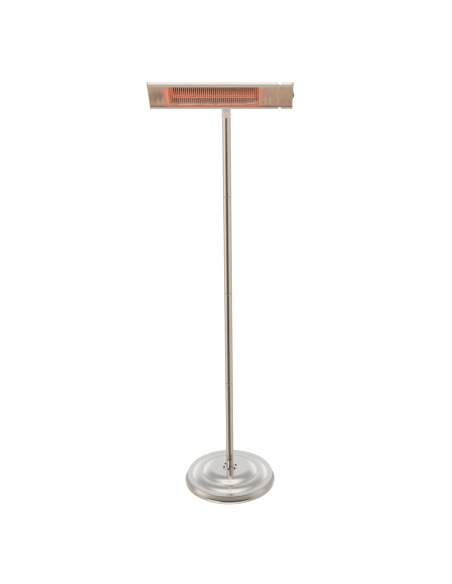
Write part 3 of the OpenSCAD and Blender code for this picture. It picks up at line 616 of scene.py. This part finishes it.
def rounded_cap(name, outward, screws, opening=None):
    """The CAD cap's outline drawn with a rounded outer edge, cut for the screws and the opening."""
    rounding, rings, screw_r = 3.6 * MM, 7, 2.1 * MM
    low, high = head_box(name)
    x_out, x_in = (low.x, high.x) if outward < 0 else (high.x, low.x)
    back = HEAD.inverted()
    flat_points = [Vector((p.y, p.z)) for p in (back @ v.co for v in nodes[name].data.vertices)]
    outline = [flat_points[i] for i in convex_hull_2d(flat_points)]
    outline = [p for i, p in enumerate(outline) if (p - outline[i - 1]).length > 0.05 * MM]
    n = len(outline)
    if sum(outline[i - 1].cross(outline[i]) for i in range(n)) < 0:
        outline.reverse()
    normals = []
    for i in range(n):
        a, b = (outline[i] - outline[i - 1]).normalized(), (outline[(i + 1) % n] - outline[i]).normalized()
        normals.append(Vector(((a + b).y, -(a + b).x)).normalized())
    holes = []
    for low_s, high_s in screws:
        holes.append(ring_points((low_s.y + high_s.y) / 2, (low_s.z + high_s.z) / 2, screw_r, 16))
    if opening:
        (y0, z0), (y1, z1) = opening
        holes.append([(y0, z0), (y1, z0), (y1, z1), (y0, z1)])
    verts, faces = [], []
    for k in range(rings + 1):
        a = math.pi / 2 * k / rings
        x = x_out - outward * rounding * (1 - math.sin(a))
        verts += [(x, *(p - m * rounding * (1 - math.cos(a)))) for p, m in zip(outline, normals)]
    verts += [(x_in, *p) for p in outline]
    loops = [[k * n + i for i in range(n)] for k in [rings + 1, *range(rings + 1)]]
    for one, two in zip(loops, loops[1:]):
        for i in range(n):
            j = (i + 1) % n
            faces.append((one[i], one[j], two[j], two[i]))
    inner_outline = [tuple(p - m * rounding) for p, m in zip(outline, normals)]
    for x, loop in ((x_out, inner_outline), (x_in, [tuple(p) for p in outline])):
        flat_verts, kept = cut_outline(loop, holes)
        start = len(verts)
        verts += [(x, v.x, v.y) for v in flat_verts]
        faces += [tuple(start + i for i in tri) for tri in kept]
    for loop in holes:
        start, m = len(verts), len(loop)
        verts += [(x, *p) for x in (x_out, x_in) for p in loop]
        faces += [(start + i, start + (i + 1) % m, start + m + (i + 1) % m, start + m + i) for i in range(m)]
    cap = make(f"{name}_rounded", verts, faces, "cap_alloy", "head", matrix=HEAD)
    grid = bmesh.new()
    grid.from_mesh(cap.data)
    bmesh.ops.remove_doubles(grid, verts=grid.verts, dist=0.005 * MM)
    bmesh.ops.recalc_face_normals(grid, faces=grid.faces)
    grid.to_mesh(cap.data)
    grid.free()
    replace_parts(split_sharp(cap, 32), name)


def loose_boxes(name):
    """Boxes, in the head's frame, of the separate bodies in a CAD node."""
    grid = bmesh.new()
    grid.from_mesh(nodes[name].data)
    back = HEAD.inverted()
    boxes, seen = [], set()
    for start in grid.verts:
        if start in seen:
            continue
        stack, found = [start], []
        seen.add(start)
        while stack:
            v = stack.pop()
            found.append(back @ v.co)
            for e in v.link_edges:
                other = e.other_vert(v)
                if other not in seen:
                    seen.add(other)
                    stack.append(other)
        array = np.array(found)
        boxes.append((Vector(array.min(0)), Vector(array.max(0))))
    grid.free()
    return boxes


rounded_cap("left_end_cap", -1, loose_boxes("left_cap_screws"))
switch_low, switch_high = head_box("switch_body")
LEDGE_Y, LEDGE_Z = 1.6 * MM, 1.8 * MM
rounded_cap("right_end_cap", 1, loose_boxes("right_cap_screws"),
            ((switch_low.y + LEDGE_Y, switch_low.z + LEDGE_Z),
             (switch_high.y - LEDGE_Y, switch_high.z - LEDGE_Z)))

# Perforated fascias. Slots are (x, lower end, upper end) in mm, the ends up from the housing's lowest edge.
LEFT_SLOTS = [(x, 21, 84) for x in (-294, -272.5)]
RIGHT_SLOTS = [(x, 21, 84) for x in (172, 193.5, 227.5)] + [(171.5, 147, 157), (228.5, 133, 157)]


def slots_at(places):
    return [(x * MM, housing_low.z + z0 * MM, housing_low.z + z1 * MM) for x, z0, z1 in places]


left = perforated("left_fascia_sheet", left_low, left_high, slots_at(LEFT_SLOTS))
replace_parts(left, "left_fascia")
right = perforated("right_fascia_sheet", right_low, right_high, slots_at(RIGHT_SLOTS))
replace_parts(right, "right_fascia")

# Reflector trough with a smooth curve between its leaning ends.
trough_low, trough_high = head_box("reflector")
tube_low, tube_high = head_box("quartz_tube")
tube_z = (tube_low.z + tube_high.z) / 2
tube_y = (tube_low.y + tube_high.y) / 2
TROUGH_STEPS, TROUGH_POWER, SHEET, LEAN = 64, 2.4, 0.8 * MM, 18 * MM


def trough_profile(offset):
    """Points (y, z) across the trough, deepest behind the tube."""
    z0, z1 = trough_low.z, trough_high.z
    depth = trough_high.y - trough_low.y
    points = []
    for i in range(TROUGH_STEPS + 1):
        z = z0 + (z1 - z0) * i / TROUGH_STEPS
        side = (tube_z - z) / (tube_z - z0) if z < tube_z else (z - tube_z) / (z1 - tube_z)
        points.append((trough_high.y - offset - depth * side ** TROUGH_POWER, z))
    return [(max(y, trough_low.y), z) for y, z in points]


verts, faces = [], []
lean_depth = trough_high.y + 3 * MM - trough_low.y
for x_end, sign in ((trough_low.x, 1), (trough_high.x, -1)):
    for offset in (SHEET, 0):
        verts += [(x_end + sign * LEAN * (y - trough_low.y) / lean_depth, y, z)
                  for y, z in trough_profile(offset)]
n = len(verts) // 4
for side in (0, 1):
    for i in range(n - 1):
        a, b = side * n + i, 2 * n + side * n + i
        faces.append((a, a + 1, b + 1, b) if side == 0 else (a, b, b + 1, a + 1))
trough = make("reflector_trough", verts, faces, "reflector_alloy", "head", matrix=HEAD)
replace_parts(trough, "reflector")

# Heating coil: a wound wire inside the tube, with `per_turn` rings of `around` points in each turn.
coil_low, coil_high = head_box("heating_coil")
coil_r = (coil_high.z - coil_low.z) / 2
wire_r, pitch, per_turn, around = 0.42 * MM, 2.1 * MM, 14, 5
length = coil_high.x - coil_low.x - 2 * wire_r
steps = int(length / pitch * per_turn)
verts, faces = [], []
for i in range(steps + 1):
    a = 2 * math.pi * i / per_turn
    out = Vector((0, math.cos(a), math.sin(a)))
    centre = Vector((coil_low.x + wire_r + length * i / steps, tube_y, tube_z)) + out * (coil_r - wire_r)
    for k in range(around):
        b = 2 * math.pi * k / around
        verts.append(centre + out * wire_r * math.cos(b) + Vector((wire_r * math.sin(b), 0, 0)))
for i in range(steps):
    for k in range(around):
        a, b = i * around + k, i * around + (k + 1) % around
        faces.append((a, b, b + around, a + around))
faces += [tuple(range(around))[::-1], tuple(len(verts) - around + k for k in range(around))]
coil = make("heating_coil_wound", verts, faces, "coil", "head", matrix=HEAD)
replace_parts(coil, "heating_coil")

# ---------- stage, light and camera ----------

def stage_piece(name, verts, faces, material, glow):
    """An object of the stage in a matt white glowing material; returns it, its node tree and its shader."""
    mesh = bpy.data.meshes.new(name)
    mesh.from_pydata(verts, [], faces)
    obj = bpy.data.objects.new(name, mesh)
    scene.collection.objects.link(obj)
    mat, tree, shader = new_material(material)
    shader.inputs["Specular IOR Level"].default_value = 0.0
    shader.inputs["Emission Color"].default_value = (1, 1, 1, 1)
    shader.inputs["Emission Strength"].default_value = glow
    mesh.materials.append(mat)
    return obj, tree, shader


FLOOR = 40
floor, pale_tree, pale_shader = stage_piece(
    "floor", [(-FLOOR, -FLOOR, 0), (FLOOR, -FLOOR, 0), (FLOOR, FLOOR, 0), (-FLOOR, FLOOR, 0)],
    [(0, 1, 2, 3)], "pale_floor", 0.40)
pale_grain = noise(pale_tree, object_coords(pale_tree, (1, 1, 1)), 3, 3)
pale_tree.links.new(blend(pale_tree, pale_grain, (0.90, 0.90, 0.90), (0.93, 0.93, 0.93)),
                    pale_shader.inputs["Base Color"])
pale_tree.links.new(spread(pale_tree, pale_grain, 0.85, 0.95), pale_shader.inputs["Roughness"])
floor.visible_glossy = False
floor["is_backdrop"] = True

# The white backdrop behind the floor is seen by the camera only: it lights nothing and isn't mirrored.
ROOM_RADIUS, ROOM_HEIGHT, ROOM_SIDES = 38.0, 30.0, 64
room_angles = [2 * math.pi * i / ROOM_SIDES for i in range(ROOM_SIDES)]
backdrop, _, white_shader = stage_piece(
    "backdrop", [(ROOM_RADIUS * math.cos(a), ROOM_RADIUS * math.sin(a), z)
                 for z in (-0.01, ROOM_HEIGHT) for a in room_angles],
    [(i, (i + 1) % ROOM_SIDES, ROOM_SIDES + (i + 1) % ROOM_SIDES, ROOM_SIDES + i) for i in range(ROOM_SIDES)],
    "white_backdrop", 1.0)
white_shader.inputs["Base Color"].default_value = (0, 0, 0, 1)
for kind in ("diffuse", "glossy", "transmission", "volume_scatter", "shadow"):
    setattr(backdrop, f"visible_{kind}", False)
backdrop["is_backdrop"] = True

# A made-up studio for the metal to mirror, by direction: dz up, ahead towards the front, side to the right.
# Each room is a ramp of colours from straight down to straight up.
world = bpy.data.worlds.new("studio")
scene.world = world
world.use_nodes = True
sky = world.node_tree
sky.nodes.clear()
dx, dy, dz = xyz(sky, sky.nodes.new("ShaderNodeTexCoord").outputs["Generated"])
flat = math_node(sky, "SQRT", math_node(sky, "ADD", product(sky, dx, dx), product(sky, dy, dy)))
flat = math_node(sky, "MAXIMUM", flat, 0.001)
ahead = math_node(sky, "DIVIDE", product(sky, dy, -1), flat)
side = math_node(sky, "DIVIDE", dx, flat)
height = spread(sky, dz, 0, 1, -1, 1)
wide = math_node(sky, "ABSOLUTE", side)
OVERHEAD = [(0.975, (1.02, 0.98, 0.94)), (1.00, (1.34, 1.31, 1.29))]
LOW = [(0.00, (0.50, 0.44, 0.39)), (0.38, (0.52, 0.47, 0.42))]
back_room = ramp(sky, height, LOW + [(0.50, (0.66, 0.63, 0.60)), (0.60, (0.80, 0.80, 0.79)),
                                     (0.79, (0.81, 0.81, 0.81)), (0.835, (0.50, 0.50, 0.49)),
                                     (0.935, (0.42, 0.41, 0.40))] + OVERHEAD)
side_room = ramp(sky, height, LOW + [(0.50, (0.58, 0.53, 0.49)), (0.62, (0.58, 0.54, 0.50)),
                                     (0.84, (0.58, 0.54, 0.51)), (0.91, (0.48, 0.46, 0.44))] + OVERHEAD)
front_room = ramp(sky, height, LOW[:1] + [(0.36, (0.46, 0.40, 0.35)), (0.44, (0.40, 0.34, 0.29)),
                                          (0.49, (0.06, 0.055, 0.05)), (0.785, (0.06, 0.055, 0.05)),
                                          (0.835, (0.74, 0.69, 0.64))] + OVERHEAD)
room = blend(sky, spread(sky, ahead, 0, 1, -0.9, -0.3), back_room, side_room)
narrowed = math_node(sky, "SUBTRACT", ahead, spread(sky, dz, 0, 0.28, 0.32, 0.46))
room = blend(sky, spread(sky, narrowed, 0, 1, 0.40, 0.70), room, front_room)

# A bright card to the front left, a soft light in front, high up, and white walls behind to both sides.
left_card = product(sky, spread(sky, side, 1, 0, -0.48, -0.36), spread(sky, side, 0, 1, -0.95, -0.80),
                    above(sky, ahead, 0),
                    spread(sky, dz, 0, 1, 0.36, 0.46), spread(sky, dz, 1, 0, 0.62, 0.72))
room = blend(sky, left_card, room, (1.25, 1.16, 1.08))
lamp = product(sky, spread(sky, ahead, 0, 1, 0.35, 0.90), spread(sky, dz, 0, 1, 0.62, 0.80))
room = blend(sky, lamp, room, (1.10, 1.04, 0.98))
wall = product(sky, spread(sky, wide, 0, 1, 0.12, 0.30), spread(sky, wide, 1, 0, 0.70, 0.84),
               below(sky, ahead, 0), spread(sky, dz, 0, 1, -0.10, 0.1), spread(sky, dz, 1, 0, 0.40, 0.56))
room = blend(sky, wall, room, (1.06, 1.05, 1.03))

# Below the horizon in front: light to the left, beige to the right, and a dark strip between them.
low_front = product(sky, spread(sky, ahead, 0, 1, -0.2, 0.1), spread(sky, dz, 1, 0, -0.22, -0.15))
tint = blend(sky, spread(sky, side, 0, 1, -0.25, 0.25), (1.28, 1.19, 1.11), (0.86, 0.79, 0.72))
tinted = math_node(sky, "MAXIMUM", spread(sky, dz, 0.35, 0.66, -0.55, -0.32),
                   spread(sky, dz, 0.45, 0.35, -0.9, -0.62))
room = blend(sky, product(sky, low_front, tinted), room, tint)
half_strip = spread(sky, dz, 0.62, 0.46, -0.56, -0.22)
strip_shift = spread(sky, dz, 0, 0.16, -0.57, -0.50)
off_centre = math_node(sky, "ABSOLUTE", math_node(sky, "ADD", side, strip_shift))
inside = spread(sky, math_node(sky, "SUBTRACT", off_centre, half_strip), 1, 0, -0.10, 0.10)
strip = product(sky, inside, above(sky, ahead, 0),
                spread(sky, dz, 1, 0, -0.25, -0.19), spread(sky, dz, 0, 1, -0.85, -0.6))
strip_tone = blend(sky, spread(sky, side, 0, 1, -0.45, 0.0), (0.17, 0.14, 0.12), (0.045, 0.04, 0.035))
strip_tone = blend(sky, spread(sky, dz, 1, 0, -0.54, -0.46), strip_tone, (0.19, 0.16, 0.135))
room = blend(sky, strip, room, strip_tone)
shade = sky.nodes.new("ShaderNodeBackground")
sky.links.new(room, shade.inputs["Color"])
world_out = sky.nodes.new("ShaderNodeOutputWorld")
sky.links.new(shade.outputs[0], world_out.inputs["Surface"])


def softbox(name, place, size, power, color):
    """A square area light aimed at AIM and hidden from reflections."""
    data = bpy.data.lights.new(name, "AREA")
    data.shape = "RECTANGLE"
    data.size = data.size_y = size
    data.energy = power
    data.color = color
    light = bpy.data.objects.new(name, data)
    light.location = place
    light.visible_glossy = False
    light.rotation_mode = "QUATERNION"
    light.rotation_quaternion = (AIM - Vector(place)).to_track_quat("-Z", "Y")
    scene.collection.objects.link(light)


AIM = Vector((0, 0, 1.0))
softbox("key", (-2.5, -3.0, 4.5), 2.5, 60, (1.0, 0.97, 0.93))
softbox("fill", (2.8, -2.5, 3.5), 2.0, 30, (1.0, 0.96, 0.92))

# The camera, fitted to the photograph; the focal length and the optical axis are in the photograph's pixels.
PHOTO_H = 584
FOCAL_PX = 1100.0
AXIS_RIGHT_PX = 27.4
CAMERA_PLACE = (0.120, -4.7786, 3.1773)
CAMERA_DOWN = 24.0
camera_data = bpy.data.cameras.new("camera")
camera_data.sensor_width = 36.0
camera_data.lens = FOCAL_PX * camera_data.sensor_width / PHOTO_H
camera_data.shift_x = -AXIS_RIGHT_PX / PHOTO_H
camera_data.clip_end = 200
camera = bpy.data.objects.new("camera", camera_data)
camera.location = CAMERA_PLACE
camera.rotation_euler = (math.radians(90 - CAMERA_DOWN), 0, 0)
scene.collection.objects.link(camera)
scene.camera = camera
scene.view_settings.view_transform = "Standard"

low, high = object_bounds()
